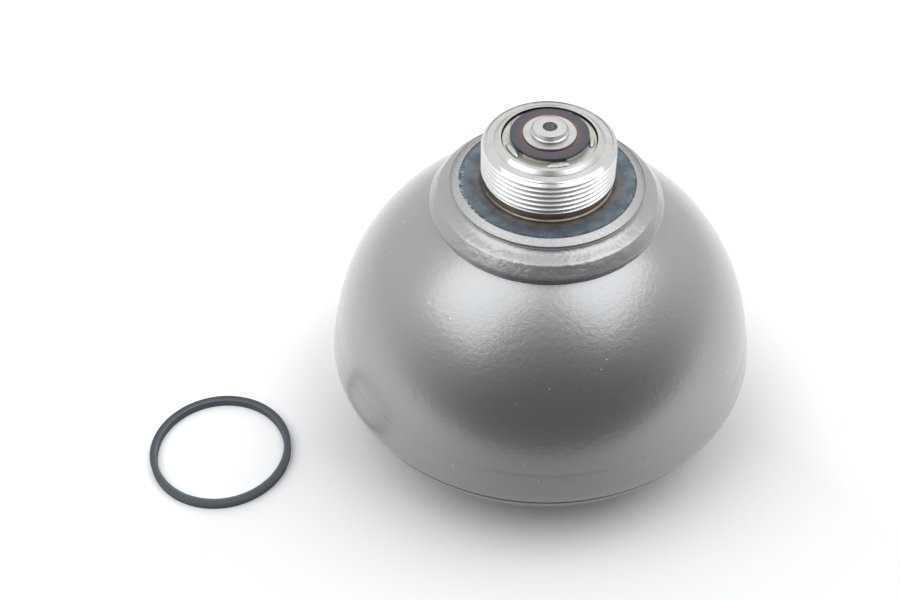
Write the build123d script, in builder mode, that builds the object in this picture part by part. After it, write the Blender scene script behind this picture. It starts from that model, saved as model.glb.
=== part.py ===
from build123d import *

import os
from math import asin, atan2, cos, radians, sin, sqrt

os.makedirs("parts", exist_ok=True)

# Diaphragm accumulator, in millimetres. It stands on its base: the origin is on the axis in the base
# plane, +Z points out of the threaded neck, and -Y is the side that faces the viewer.

# Upper shell: a sphere down to a faint crease, then a slightly proud skirt band that turns in at the seam
dome_radius = 58.4
upper_wall = 4.0
dome_centre_rise = 2.7      # sphere's centre above the seam
band_height = 12.5          # crease above the seam
band_swell = 0.65           # widest point of the skirt band, beyond the sphere's radius
band_step = 0.12            # the band stands proud of the sphere at the crease
lip_height = 3.7            # the band is widest this far above the seam and turns in below
lip_inset = 1.15            # how far the lip has turned in where the weld groove starts

# Lower shell: a shallow torispherical dish with a flat to stand on
crown_radius = 104.0
knuckle_radius = 16.0
knuckle_lean = 18.0         # degrees by which the knuckle stops short of upright at the seam
lower_wall = 5.0
base_radius = 16.0
lower_edge_inset = 1.45     # lower shell's edge behind the band's widest point

# Seam: a V groove, filled part of the way by the weld
root_land = 0.9             # unbevelled width of the joint
bevel_rise = 0.8            # bevel's height, the same on both shells
weld_inset = 0.6            # weld's face behind the lower shell's edge
weld_crown = 0.15

# Diaphragm's seat and clamp
pocket_inset = 0.4          # pocket's wall inside the upper shell's
pocket_depth = 2.5
bead_width = 2.8
bead_height = 4.0
bead_clearance = 0.3
clamp_height = 5.4
clamp_clearance = 0.1
clamp_foot = 2.35           # radial width of the clamp ring where it meets the bead
liner_height = 12.5         # height above the seam at which the diaphragm meets the dome

# Diaphragm and the disc on its crown
rubber_gap = 0.3
diaphragm_wall = 2.0
pad_thickness = 2.2
pad_inset = 0.5             # pad's edge inside the disc's
pad_flank = 2.5
disc_lap = 4.0              # disc's edge beyond the throat
disc_rim = 1.5
disc_clearance = 0.4
stem_radius = 5.0
washer_radius = 9.0
washer_thickness = 1.5
peen_height = 0.6
peen_overhang = 0.6

# Neck: M35 x 1.5 thread, drawn as a plain cylinder at its major diameter
thread_radius = 17.5
relief_depth = 0.55
relief_height = 2.4
lead_height = 1.85          # the lead has two cones, the upper one flatter
lead_break_width = 1.5
lead_break_fall = 0.6
seat_width = 6.3            # seal seat outside the relief
seat_rise = 1.4             # seal seat above the dome's virtual crown
seat_step = 0.12
rim_width = 2.35            # coated rim outside the seat
rim_fall = 0.45
flange_overhang = 1.6       # flange beyond the spigot that fits the shell's hole
flange_thickness = 1.9
fit_clearance = 0.05
neck_height = 13.5          # mouth above the seal seat
bore_radius = 12.1
mouth_chamfer = 0.2
land_width = 2.2            # flat face between the mouth's chamfer and the thread's lead
shoulder_width = 1.2        # ledge that the damper sits on
chamber_depth = 8.2
throat_step = 1.9           # throat inside the chamber, with a 45 degree cone between them

# Bead that joins the neck to the dome
bead_top_inset = 0.5        # bead's top edge in from the rim
bead_crest_reach = 4.1      # crest beyond the rim
bead_crest_fall = 4.7       # crest below the seal seat
bead_belly_reach = 5.35
bead_belly_fall = 7.0
bead_toe_reach = 4.6

# Stakes: the bore's wall is punched over the damper
stake_count = 5
stake_angle = -81.0
stake_radius = 1.6
stake_reach = 1.1
stake_height = 0.35
stake_taper = 30.0

# Damper valve
damper_depth = 0.4          # damper's outer ring below the mouth
damper_thickness = 7.9
damper_clearance = 0.03
channel_width = 2.4         # outer ring's face between the bore and the plateau
plateau_height = 1.05
port_count = 5              # ports for each direction of flow
port_radius = 1.15
port_inset = 2.4            # port circle inside the plateau's edge
notch_width = 2.0
notch_depth = 0.95
shim_count = 3
shim_overhang = 0.5         # shims' edge beyond the plateau
shim_thickness = 0.25
spacer_radius = 6.85
spacer_thickness = 0.5

# Centre pin with the bleed hole, and its collar
pin_radius = 2.95
pin_clearance = 0.05
pin_foot_radius = 4.9
pin_foot_height = 0.55
pin_groove_radius = 4.35
pin_groove_height = 0.15
pin_head_radius = 4.6
pin_head_height = 1.0
pin_head_chamfer = 0.35
bleed_mouth_radius = 1.77
bleed_mouth_depth = 3.0
bleed_radius = 0.6
collar_radius = 4.8
collar_height = 1.8
collar_chamfer = 0.3
peen_flare = 0.6            # pin's end spread into the collar's countersink
peen_cap = 0.4

# Gas filling boss, plug and seal
boss_wall = 2.4             # boss outside the plug's counterbore
boss_recess = 0.8
boss_flange_width = 3.5
boss_flange_height = 4.5
boss_edge = 1.0
boss_weld_leg = 1.5
boss_weld_inset = 0.2
plug_thread_radius = 4.0
plug_thread_length = 3.2
plug_head_radius = 6.4
plug_head_height = 3.2
plug_head_chamfer = 0.4
plug_recess = 0.2
plug_clearance = 0.2
thread_clearance = 0.05
socket_flats = 5.0
socket_depth = 2.2
plug_seal_height = 1.0
gas_hole_radius = 1.5

# Seal ring, off the neck and lying on the same surface
ring_play = 0.65            # ring's inside beyond the thread
ring_width = 2.07
ring_height = 2.28
ring_edge = 0.25
ring_gap = 15.56            # between the ring and the shell's widest point
ring_angle = -166.21

# Radii worked out from the sizes above
inner_radius = dome_radius - upper_wall
band_radius = dome_radius + band_swell
lower_edge_radius = band_radius - lower_edge_inset
groove_root = inner_radius + root_land
pocket_radius = inner_radius - pocket_inset
relief_radius = thread_radius - relief_depth
seat_radius = relief_radius + seat_width
rim_radius = seat_radius + rim_width
spigot_radius = rim_radius - flange_overhang
hole_radius = spigot_radius + fit_clearance
land_radius = bore_radius + mouth_chamfer + land_width
chamber_radius = bore_radius - shoulder_width
throat_radius = chamber_radius - throat_step
disc_radius = throat_radius + disc_lap
pad_radius = disc_radius - pad_inset
plateau_radius = bore_radius - channel_width
port_circle_radius = plateau_radius - port_inset
shim_radius = plateau_radius + shim_overhang
counterbore_radius = plug_head_radius + plug_clearance
boss_hole_radius = counterbore_radius + boss_wall
boss_flange_radius = boss_hole_radius + boss_flange_width
ring_inner_radius = thread_radius + ring_play

# Knuckle's centre: its arc passes the lower shell's edge and runs into the crown
crown_centre = sqrt(crown_radius**2 - base_radius**2)
knuckle_x = lower_edge_radius - knuckle_radius * cos(radians(knuckle_lean))
knuckle_z = crown_centre - sqrt((crown_radius - knuckle_radius) ** 2 - knuckle_x**2)
knuckle_angle = asin(knuckle_x / (crown_radius - knuckle_radius))
lower_edge_height = knuckle_z - knuckle_radius * sin(radians(knuckle_lean))

# Heights worked out from the sizes above
seam_height = lower_edge_height + bevel_rise
dome_centre = seam_height + dome_centre_rise
crease_height = seam_height + band_height
seat_height = dome_centre + dome_radius + seat_rise
flange_under = seat_height - flange_thickness
mouth_height = seat_height + neck_height
damper_top = mouth_height - damper_depth
shoulder_height = damper_top - damper_thickness
chamber_floor = shoulder_height - chamber_depth
plateau_top = damper_top + plateau_height
plateau_bottom = shoulder_height - plateau_height
ledge_height = seam_height - pocket_depth
bead_top = ledge_height + bead_height
liner_top = seam_height + liner_height


def sphere_height(radius, centre, at):
    return centre + sqrt(radius**2 - at**2)


def sphere_radius(radius, centre, height):
    return sqrt(radius**2 - (height - centre) ** 2)


def arc_over(radius, centre, start, end):
    """Arc of a sphere whose centre is on the axis at height centre, between two points on it."""
    start_angle = atan2(start[1] - centre, start[0])
    end_angle = atan2(end[1] - centre, end[0])
    middle = (start_angle + end_angle) / 2
    return ThreePointArc(start, (radius * cos(middle), centre + radius * sin(middle)), end)


def crown_point(inset):
    """Where the crown runs into the knuckle, inset from the outer surface."""
    radius = crown_radius - inset
    return radius * sin(knuckle_angle), crown_centre - radius * cos(knuckle_angle)


def knuckle_arc(inset, start, end):
    """Arc of the knuckle, inset from the outer surface, between two points on it."""
    radius = knuckle_radius - inset
    start_angle = atan2(start[1] - knuckle_z, start[0] - knuckle_x)
    end_angle = atan2(end[1] - knuckle_z, end[0] - knuckle_x)
    middle = (start_angle + end_angle) / 2
    return ThreePointArc(start, (knuckle_x + radius * cos(middle), knuckle_z + radius * sin(middle)), end)


def bevel_height(at):
    """Height of the groove's side above or below the seam, at a radius."""
    return bevel_rise * (at - groove_root) / (lower_edge_radius - groove_root)


# Upper shell: drawn bell with a hole for the neck
dome_crease = (sphere_radius(dome_radius, dome_centre, crease_height), crease_height)
band_crease = (dome_crease[0] + band_step, crease_height)
band_widest = (band_radius, seam_height + lip_height)
band_curve = (crease_height - band_widest[1]) ** 2 / (2 * (band_radius - band_crease[0]))
band_middle_rise = (crease_height - band_widest[1]) / 2
lip_edge_radius = band_radius - lip_inset
lip_edge = (lip_edge_radius, seam_height + bevel_height(lip_edge_radius))
with BuildPart() as upper_shell:
    with BuildSketch(Plane.XZ):
        with BuildLine():
            outer_start = (hole_radius, sphere_height(dome_radius, dome_centre, hole_radius))
            inner_end = (hole_radius, sphere_height(inner_radius, dome_centre, hole_radius))
            arc_over(dome_radius, dome_centre, outer_start, dome_crease)
            Line(dome_crease, band_crease)
            ThreePointArc(
                band_crease,
                (band_radius - band_middle_rise**2 / (2 * band_curve), band_widest[1] + band_middle_rise),
                band_widest,
            )
            TangentArc(band_widest, lip_edge, tangent=(0, -1))
            Polyline(
                lip_edge,
                (groove_root, seam_height),
                (inner_radius, seam_height),
                (inner_radius, dome_centre),
            )
            arc_over(inner_radius, dome_centre, (inner_radius, dome_centre), inner_end)
            Line(inner_end, outer_start)
        make_face()
    revolve(axis=Axis.Z)
upper_shell.part.label = "upper_shell"
export_step(upper_shell.part, "parts/upper_shell.step")

# Lower shell: dished base with the diaphragm's pocket, a flat and the boss's hole
lower_edge = (lower_edge_radius, lower_edge_height)
inner_crown_centre = crown_centre - lower_wall
inner_flat_radius = sqrt((crown_radius - lower_wall) ** 2 - inner_crown_centre**2)
inner_knuckle = knuckle_radius - lower_wall
ledge_inner = (knuckle_x + sqrt(inner_knuckle**2 - (knuckle_z - ledge_height) ** 2), ledge_height)
with BuildPart() as lower_shell:
    with BuildSketch(Plane.XZ):
        with BuildLine():
            Line((boss_hole_radius + boss_weld_leg, 0), (base_radius, 0))
            arc_over(crown_radius, crown_centre, (base_radius, 0), crown_point(0))
            knuckle_arc(0, crown_point(0), lower_edge)
            Polyline(
                lower_edge,
                (groove_root, seam_height),
                (pocket_radius, seam_height),
                (pocket_radius, ledge_height),
                ledge_inner,
            )
            knuckle_arc(lower_wall, ledge_inner, crown_point(lower_wall))
            inner_flat_edge = (inner_flat_radius, lower_wall)
            arc_over(crown_radius - lower_wall, crown_centre, crown_point(lower_wall), inner_flat_edge)
            Polyline(
                inner_flat_edge,
                (boss_hole_radius, lower_wall),
                (boss_hole_radius, boss_weld_leg),
                (boss_hole_radius + boss_weld_leg, 0),
            )
        make_face()
    revolve(axis=Axis.Z)
lower_shell.part.label = "lower_shell"
export_step(lower_shell.part, "parts/lower_shell.step")

# Weld that fills the bottom of the seam's groove
weld_radius = lower_edge_radius - weld_inset
with BuildPart() as shell_weld:
    with BuildSketch(Plane.XZ):
        with BuildLine():
            weld_upper = (weld_radius, seam_height + bevel_height(weld_radius))
            weld_lower = (weld_radius, seam_height - bevel_height(weld_radius))
            Polyline(weld_lower, (groove_root, seam_height), weld_upper)
            ThreePointArc(weld_upper, (weld_radius + weld_crown, seam_height), weld_lower)
        make_face()
    revolve(axis=Axis.Z)
shell_weld.part.label = "shell_weld"
export_step(shell_weld.part, "parts/shell_weld.step")

# Neck: turned connector, staked over the damper at its mouth
spigot_bottom = (spigot_radius, sphere_height(inner_radius, dome_centre, spigot_radius))
throat_bottom = (throat_radius, sphere_height(inner_radius, dome_centre, throat_radius))
relief_top = seat_height + relief_height
with BuildPart() as neck:
    with BuildSketch(Plane.XZ) as neck_section:
        with BuildLine():
            arc_over(inner_radius, dome_centre, throat_bottom, spigot_bottom)
            Polyline(
                spigot_bottom,
                (spigot_radius, flange_under),
                (rim_radius, flange_under),
                (rim_radius, seat_height - rim_fall),
                (seat_radius, seat_height - seat_step),
                (seat_radius, seat_height),
                (relief_radius, seat_height),
                (relief_radius, relief_top),
                (thread_radius, relief_top + thread_radius - relief_radius),
                (thread_radius, mouth_height - lead_height),
                (land_radius + lead_break_width, mouth_height - lead_break_fall),
                (land_radius, mouth_height),
                (bore_radius + mouth_chamfer, mouth_height),
                (bore_radius, mouth_height - mouth_chamfer),
                (bore_radius, shoulder_height),
                (chamber_radius, shoulder_height),
                (chamber_radius, chamber_floor + chamber_radius - throat_radius),
                (throat_radius, chamber_floor),
                throat_bottom,
            )
        make_face()
    revolve(axis=Axis.Z)
    with BuildSketch(Plane.XY.offset(damper_top)):
        with PolarLocations(bore_radius + stake_radius - stake_reach, stake_count, start_angle=stake_angle):
            Circle(stake_radius)
    extrude(amount=stake_height, taper=stake_taper)
neck.part.label = "neck"
export_step(neck.part, "parts/neck.step")

# Bead round the neck: convex top under the rim, then a belly that turns under to its toe on the dome
bead_toe_radius = rim_radius + bead_toe_reach
bead_top_edge = (rim_radius - bead_top_inset, flange_under)
bead_crest = (rim_radius + bead_crest_reach, seat_height - bead_crest_fall)
bead_belly = (rim_radius + bead_belly_reach, seat_height - bead_belly_fall)
bead_toe = (bead_toe_radius, sphere_height(dome_radius, dome_centre, bead_toe_radius))
bead_root = (spigot_radius, sphere_height(dome_radius, dome_centre, spigot_radius))
with BuildPart() as neck_weld:
    with BuildSketch(Plane.XZ):
        with BuildLine():
            Line((spigot_radius, flange_under), bead_top_edge)
            Spline(bead_top_edge, bead_crest, bead_belly, bead_toe)
            arc_over(dome_radius, dome_centre, bead_toe, bead_root)
            Line(bead_root, (spigot_radius, flange_under))
        make_face()
    revolve(axis=Axis.Z)
neck_weld.part.label = "neck_weld"
export_step(neck_weld.part, "parts/neck_weld.step")

# Damper body: ports in two sets, each closed by shims on one face and open through notches on the other
pin_hole_radius = pin_radius + pin_clearance
damper_radius = bore_radius - damper_clearance
notch_length = plateau_radius - port_circle_radius + port_radius
port_pitch = 360 / port_count
with BuildPart() as damper_body:
    with BuildSketch(Plane.XZ):
        with BuildLine():
            Polyline(
                (pin_hole_radius, plateau_bottom),
                (plateau_radius, plateau_bottom),
                (plateau_radius, shoulder_height),
                (damper_radius, shoulder_height),
                (damper_radius, damper_top),
                (plateau_radius, damper_top),
                (plateau_radius, plateau_top),
                (pin_hole_radius, plateau_top),
                close=True,
            )
        make_face()
    revolve(axis=Axis.Z)
    with BuildSketch(Plane.XY.offset(plateau_bottom)):
        with PolarLocations(port_circle_radius, 2 * port_count):
            Circle(port_radius)
    extrude(amount=plateau_top - plateau_bottom, mode=Mode.SUBTRACT)
    for notch_start, notch_floor in ((0, plateau_top - notch_depth), (port_pitch / 2, plateau_bottom)):
        with BuildSketch(Plane.XY.offset(notch_floor)):
            with PolarLocations(port_circle_radius, port_count, start_angle=notch_start):
                Rectangle(notch_length, notch_width, align=(Align.MIN, Align.CENTER))
        extrude(amount=notch_depth, mode=Mode.SUBTRACT)
damper_body.part.label = "damper_body"
export_step(damper_body.part, "parts/damper_body.step")

# Shims and spacers on both faces of the damper
stack_height = shim_count * shim_thickness
for side, face in (("upper", plateau_top), ("lower", plateau_bottom)):
    direction = 1 if side == "upper" else -1
    for number in range(shim_count):
        with BuildPart() as shim:
            with BuildSketch(Plane.XY.offset(face + direction * number * shim_thickness)):
                Circle(shim_radius)
                Circle(pin_hole_radius, mode=Mode.SUBTRACT)
            extrude(amount=direction * shim_thickness)
        shim_name = f"{side}_shim_{number + 1}"
        shim.part.label = shim_name
        export_step(shim.part, f"parts/{shim_name}.step")
    with BuildPart() as spacer:
        with BuildSketch(Plane.XY.offset(face + direction * stack_height)):
            Circle(spacer_radius)
            Circle(pin_hole_radius, mode=Mode.SUBTRACT)
        extrude(amount=direction * spacer_thickness)
    spacer_name = f"{side}_spacer"
    spacer.part.label = spacer_name
    export_step(spacer.part, f"parts/{spacer_name}.step")

# Centre pin: stepped head above the stack, bleed hole through it, end peened into the collar
foot_bottom = plateau_top + stack_height + spacer_thickness
groove_bottom = foot_bottom + pin_foot_height
head_bottom = groove_bottom + pin_groove_height
pin_top = head_bottom + pin_head_height
collar_top = plateau_bottom - stack_height - spacer_thickness
collar_bottom = collar_top - collar_height
with BuildPart() as damper_pin:
    with BuildSketch(Plane.XZ):
        with BuildLine():
            Polyline(
                (bleed_radius, collar_bottom - peen_cap),
                (pin_radius, collar_bottom - peen_cap),
                (pin_radius + peen_flare, collar_bottom),
                (pin_radius, collar_bottom + peen_flare),
                (pin_radius, foot_bottom),
                (pin_foot_radius, foot_bottom),
                (pin_foot_radius, groove_bottom),
                (pin_groove_radius, groove_bottom),
                (pin_groove_radius, head_bottom),
                (pin_head_radius, head_bottom),
                (pin_head_radius, pin_top - pin_head_chamfer),
                (pin_head_radius - pin_head_chamfer, pin_top),
                (bleed_mouth_radius, pin_top),
                (bleed_mouth_radius, pin_top - bleed_mouth_depth),
                (bleed_radius, pin_top - bleed_mouth_depth - bleed_mouth_radius + bleed_radius),
                close=True,
            )
        make_face()
    revolve(axis=Axis.Z)
damper_pin.part.label = "damper_pin"
export_step(damper_pin.part, "parts/damper_pin.step")

# Collar that the pin is peened over
with BuildPart() as pin_collar:
    with BuildSketch(Plane.XZ):
        with BuildLine():
            Polyline(
                (pin_hole_radius, collar_top),
                (collar_radius, collar_top),
                (collar_radius, collar_bottom + collar_chamfer),
                (collar_radius - collar_chamfer, collar_bottom),
                (pin_hole_radius + peen_flare, collar_bottom),
                (pin_hole_radius, collar_bottom + peen_flare),
                close=True,
            )
        make_face()
    revolve(axis=Axis.Z)
pin_collar.part.label = "pin_collar"
export_step(pin_collar.part, "parts/pin_collar.step")

# Clamp ring: tapers to nothing much at its top, so that the rubber can follow it to the dome
clamp_top = bead_top + clamp_height
clamp_outer = sphere_radius(inner_radius, dome_centre, clamp_top) - clamp_clearance
liner_radius = inner_radius - rubber_gap
liner_edge = (sphere_radius(liner_radius, dome_centre, liner_top), liner_top)
clamp_inner = clamp_outer - clamp_foot
wall_foot = clamp_inner - rubber_gap
wall_slope = (liner_edge[0] - wall_foot) / (liner_top - bead_top)
with BuildPart() as clamp_ring:
    with BuildSketch(Plane.XZ):
        with BuildLine():
            Polyline(
                (clamp_inner, bead_top),
                (clamp_outer, bead_top),
                (clamp_outer, clamp_top),
                (clamp_inner + wall_slope * clamp_height, clamp_top),
                close=True,
            )
        make_face()
    revolve(axis=Axis.Z)
clamp_ring.part.label = "clamp_ring"
export_step(clamp_ring.part, "parts/clamp_ring.step")

# Diaphragm: rim bead, cone past the clamp ring, dome, and a thick pad that holds the disc
disc_surface = liner_radius - fit_clearance
disc_edge_top = sphere_height(disc_surface, dome_centre, disc_radius)
disc_under = disc_edge_top - disc_rim
pad_top = disc_under - rubber_gap
pad_under = pad_top - pad_thickness
recess_radius = disc_radius + disc_clearance
stem_hole_radius = stem_radius + rubber_gap
skin_radius = liner_radius - diaphragm_wall
bead_outer = pocket_radius - bead_clearance
bead_inner = bead_outer - bead_width
recess_edge = (recess_radius, sphere_height(liner_radius, dome_centre, recess_radius))
flank_edge = (pad_radius + pad_flank, sphere_height(skin_radius, dome_centre, pad_radius + pad_flank))
skin_edge = (sphere_radius(skin_radius, dome_centre, liner_top), liner_top)
with BuildPart() as diaphragm:
    with BuildSketch(Plane.XZ):
        with BuildLine():
            Polyline(
                (wall_foot - diaphragm_wall, bead_top),
                (bead_inner, ledge_height),
                (bead_outer, ledge_height),
                (bead_outer, bead_top),
                (wall_foot, bead_top),
                liner_edge,
            )
            arc_over(liner_radius, dome_centre, liner_edge, recess_edge)
            Polyline(
                recess_edge,
                (recess_radius, pad_top),
                (stem_hole_radius, pad_top),
                (stem_hole_radius, pad_under),
                (pad_radius, pad_under),
                flank_edge,
            )
            arc_over(skin_radius, dome_centre, flank_edge, skin_edge)
            Line(skin_edge, (wall_foot - diaphragm_wall, bead_top))
        make_face()
    revolve(axis=Axis.Z)
diaphragm.part.label = "diaphragm"
export_step(diaphragm.part, "parts/diaphragm.step")

# Closing disc: follows the dome over the throat, with a stem through the diaphragm's pad
washer_top = pad_under - rubber_gap
washer_under = washer_top - washer_thickness
disc_crown = (0, dome_centre + disc_surface)
with BuildPart() as closing_disc:
    with BuildSketch(Plane.XZ):
        with BuildLine():
            arc_over(disc_surface, dome_centre, disc_crown, (disc_radius, disc_edge_top))
            Polyline(
                (disc_radius, disc_edge_top),
                (disc_radius, disc_under),
                (stem_radius, disc_under),
                (stem_radius, washer_under),
                (stem_radius + peen_overhang, washer_under),
                (stem_radius, washer_under - peen_height),
                (0, washer_under - peen_height),
                disc_crown,
            )
        make_face()
    revolve(axis=Axis.Z)
closing_disc.part.label = "closing_disc"
export_step(closing_disc.part, "parts/closing_disc.step")

# Washer under the diaphragm's pad
with BuildPart() as disc_washer:
    with BuildSketch(Plane.XY.offset(washer_under)):
        Circle(washer_radius)
        Circle(stem_radius + fit_clearance, mode=Mode.SUBTRACT)
    extrude(amount=washer_thickness)
disc_washer.part.label = "disc_washer"
export_step(disc_washer.part, "parts/disc_washer.step")

# Filling boss: spigot in the base's hole, flange on the inside, counterbored and threaded for the plug
boss_top = lower_wall + boss_flange_height
plug_face = boss_recess + plug_recess
plug_head_top = plug_face + plug_head_height
counterbore_top = plug_head_top + plug_seal_height
thread_top = counterbore_top + plug_thread_length
boss_spigot_radius = boss_hole_radius - fit_clearance
with BuildPart() as fill_boss:
    with BuildSketch(Plane.XZ):
        with BuildLine():
            Polyline(
                (counterbore_radius, boss_recess),
                (boss_spigot_radius, boss_recess),
                (boss_spigot_radius, lower_wall),
                (boss_flange_radius, lower_wall),
                (boss_flange_radius, boss_top - boss_edge),
                (boss_flange_radius - boss_edge, boss_top),
                (gas_hole_radius, boss_top),
                (gas_hole_radius, thread_top),
                (plug_thread_radius, thread_top),
                (plug_thread_radius, counterbore_top),
                (counterbore_radius, counterbore_top),
                close=True,
            )
        make_face()
    revolve(axis=Axis.Z)
fill_boss.part.label = "fill_boss"
export_step(fill_boss.part, "parts/fill_boss.step")

# Weld round the filling boss, in the chamfer of the base's hole
boss_weld_face = boss_hole_radius + boss_weld_leg - boss_weld_inset
with BuildPart() as fill_boss_weld:
    with BuildSketch(Plane.XZ):
        with BuildLine():
            Polyline(
                (boss_spigot_radius, boss_weld_leg),
                (boss_hole_radius, boss_weld_leg),
                (boss_weld_face, boss_weld_inset),
                (boss_spigot_radius, boss_recess),
                close=True,
            )
        make_face()
    revolve(axis=Axis.Z)
fill_boss_weld.part.label = "fill_boss_weld"
export_step(fill_boss_weld.part, "parts/fill_boss_weld.step")

# Gas plug: socket-headed screw, its thread drawn plain
plug_shank_radius = plug_thread_radius - thread_clearance
with BuildPart() as fill_plug:
    with BuildSketch(Plane.XY.offset(plug_face)):
        Circle(plug_head_radius)
    extrude(amount=plug_head_height)
    chamfer(fill_plug.edges().group_by(Axis.Z)[0], plug_head_chamfer)
    with BuildSketch(Plane.XY.offset(plug_head_top)):
        Circle(plug_shank_radius)
    extrude(amount=thread_top - plug_head_top - plug_clearance)
    with BuildSketch(Plane.XY.offset(plug_face)):
        RegularPolygon(socket_flats / 2, 6, major_radius=False)
    extrude(amount=socket_depth, mode=Mode.SUBTRACT)
fill_plug.part.label = "fill_plug"
export_step(fill_plug.part, "parts/fill_plug.step")

# Copper seal between the plug's head and the boss
with BuildPart() as plug_seal:
    with BuildSketch(Plane.XY.offset(plug_head_top)):
        Circle(plug_head_radius)
        Circle(plug_thread_radius, mode=Mode.SUBTRACT)
    extrude(amount=plug_seal_height)
plug_seal.part.label = "plug_seal"
export_step(plug_seal.part, "parts/plug_seal.step")

# Seal ring for the neck, square in section
ring_outer_radius = ring_inner_radius + ring_width
ring_distance = band_radius + ring_gap + ring_outer_radius
with BuildPart() as seal_ring:
    with BuildSketch():
        with PolarLocations(ring_distance, 1, start_angle=ring_angle):
            Circle(ring_outer_radius)
            Circle(ring_inner_radius, mode=Mode.SUBTRACT)
    extrude(amount=ring_height)
    fillet(seal_ring.edges().filter_by(GeomType.CIRCLE), ring_edge)
seal_ring.part.label = "seal_ring"
export_step(seal_ring.part, "parts/seal_ring.step")
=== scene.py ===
from math import atan2, cos, pi, radians, sin, sqrt, tan

import bmesh
import bpy
from mathutils import Matrix, Vector


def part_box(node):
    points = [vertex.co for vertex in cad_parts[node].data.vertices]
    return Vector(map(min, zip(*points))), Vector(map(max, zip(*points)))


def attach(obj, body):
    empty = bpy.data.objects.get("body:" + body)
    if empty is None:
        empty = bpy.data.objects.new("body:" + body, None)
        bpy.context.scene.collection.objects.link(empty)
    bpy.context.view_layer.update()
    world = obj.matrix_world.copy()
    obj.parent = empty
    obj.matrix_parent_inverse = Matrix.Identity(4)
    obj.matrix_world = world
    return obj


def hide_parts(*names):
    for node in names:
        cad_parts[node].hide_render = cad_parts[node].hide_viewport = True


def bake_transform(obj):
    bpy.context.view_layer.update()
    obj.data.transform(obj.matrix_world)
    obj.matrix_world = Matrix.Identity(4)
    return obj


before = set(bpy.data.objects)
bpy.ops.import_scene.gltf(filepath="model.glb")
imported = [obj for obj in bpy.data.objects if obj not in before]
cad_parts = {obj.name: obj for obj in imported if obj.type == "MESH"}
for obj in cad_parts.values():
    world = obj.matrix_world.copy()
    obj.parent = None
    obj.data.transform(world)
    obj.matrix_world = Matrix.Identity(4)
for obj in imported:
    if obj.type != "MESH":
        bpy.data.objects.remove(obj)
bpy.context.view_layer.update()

# A diaphragm accumulator on a white table: lengths in the dictionaries are millimetres
mm = 0.001


def colour(hexText):
    # sRGB hex to the linear colour that a socket takes
    channels = [int(hexText[i:i + 2], 16) / 255 for i in (1, 3, 5)]
    return [c / 12.92 if c <= 0.04045 else ((c + 0.055) / 1.055) ** 2.4 for c in channels] + [1.0]


def perMetre(size):
    # a pattern's scale from the real size of its features
    return 1 / (size * mm)


def inMetres(lengths):
    return {name: length * mm for name, length in lengths.items()}


def feed(tree, node, inputs):
    # sets inputs, each a value, a socket or a node whose first output is used; None leaves one alone
    for key, value in (inputs.items() if isinstance(inputs, dict) else enumerate(inputs)):
        if isinstance(value, bpy.types.Node):
            value = value.outputs[0]
        if isinstance(value, bpy.types.NodeSocket):
            tree.links.new(value, node.inputs[key])
        elif value is not None:
            node.inputs[key].default_value = value


def addNode(tree, kind, inputs=(), operation=None, stops=(), **settings):
    # one node: operation and settings, then the stops {position: hex} of a ramp, then the inputs
    node = tree.nodes.new(kind)
    if operation:
        node.operation = operation
    for name, value in settings.items():
        setattr(node, name, value)
    for i, position in enumerate(sorted(stops)):
        points = node.color_ramp.elements
        point = points[i] if i < 2 else points.new(position)
        point.position = position
        point.color = colour(stops[position])
    feed(tree, node, inputs)
    return node


def newMaterial(name, values):
    # a material with only its shader, whose constants are set on its own sockets
    material = bpy.data.materials.new(name)
    material.use_nodes = True
    tree = material.node_tree
    tree.nodes.clear()
    shader = addNode(tree, "ShaderNodeBsdfPrincipled", values)
    addNode(tree, "ShaderNodeOutputMaterial", {"Surface": shader})
    return material, tree, shader, addNode(tree, "ShaderNodeTexCoord").outputs["Object"]


def mottled(tree, position, size, detail, stops, **more):
    # noise with features of a real size, and the colours that it picks
    noise = addNode(tree, "ShaderNodeTexNoise", {
        "Vector": position, "Scale": perMetre(size), "Detail": detail, **more})
    return noise, addNode(tree, "ShaderNodeValToRGB", [noise], stops=stops)


def axisDistance(tree, position, unit=mm):
    # distance from the upright axis
    flat = addNode(tree, "ShaderNodeVectorMath", [position, (1 / unit, 1 / unit, 0)], "MULTIPLY")
    return addNode(tree, "ShaderNodeVectorMath", [flat], "LENGTH").outputs["Value"]


def arc(centreR, centreZ, radius, start, end, steps):
    # an arc's points in the r-z plane, angles in degrees
    angles = [radians(start + (end - start) * i / steps) for i in range(steps + 1)]
    return [(centreR + radius * cos(a), centreZ + radius * sin(a), 0) for a in angles]


def angleOf(r, z):
    return atan2(z, r) * 180 / pi


def edged(points, index, rounding):
    # gives one point of an arc or a curve a rounding
    points[index] = (*points[index][:2], rounding)
    return points


def rounded(corners, steps=4):
    # turns each corner (r, z, rounding) into a small arc, so that its edge catches the light
    points = []
    for i, (r, z, rounding) in enumerate(corners):
        here = Vector((r, z))
        toBefore = Vector(corners[i - 1][:2]) - here
        toAfter = Vector(corners[(i + 1) % len(corners)][:2]) - here
        if rounding <= 0:
            points.append(here)
            continue
        half = toBefore.angle(toAfter) / 2
        reach = min(rounding / tan(half), toBefore.length * 0.45, toAfter.length * 0.45)
        toBefore.normalize()
        toAfter.normalize()
        centre = here + (toBefore + toAfter).normalized() * reach / cos(half)
        spread = here + toBefore * reach - centre
        sweep = (pi - 2 * half) * (-1 if toBefore.cross(toAfter) > 0 else 1)
        for k in range(steps + 1):
            points.append(centre + Matrix.Rotation(-sweep * k / steps, 2) @ spread)
    return points


def weighNormals(mesh):
    # smooth shading in which the larger faces count for more, so flats between rounded edges stay flat
    mesh.shade_smooth()
    sums = [Vector() for _ in mesh.vertices]
    for face in mesh.polygons:
        share = face.normal * face.area
        for corner in face.vertices:
            sums[corner] += share
    mesh.normals_split_custom_set_from_vertices([total.normalized() for total in sums])


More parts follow.
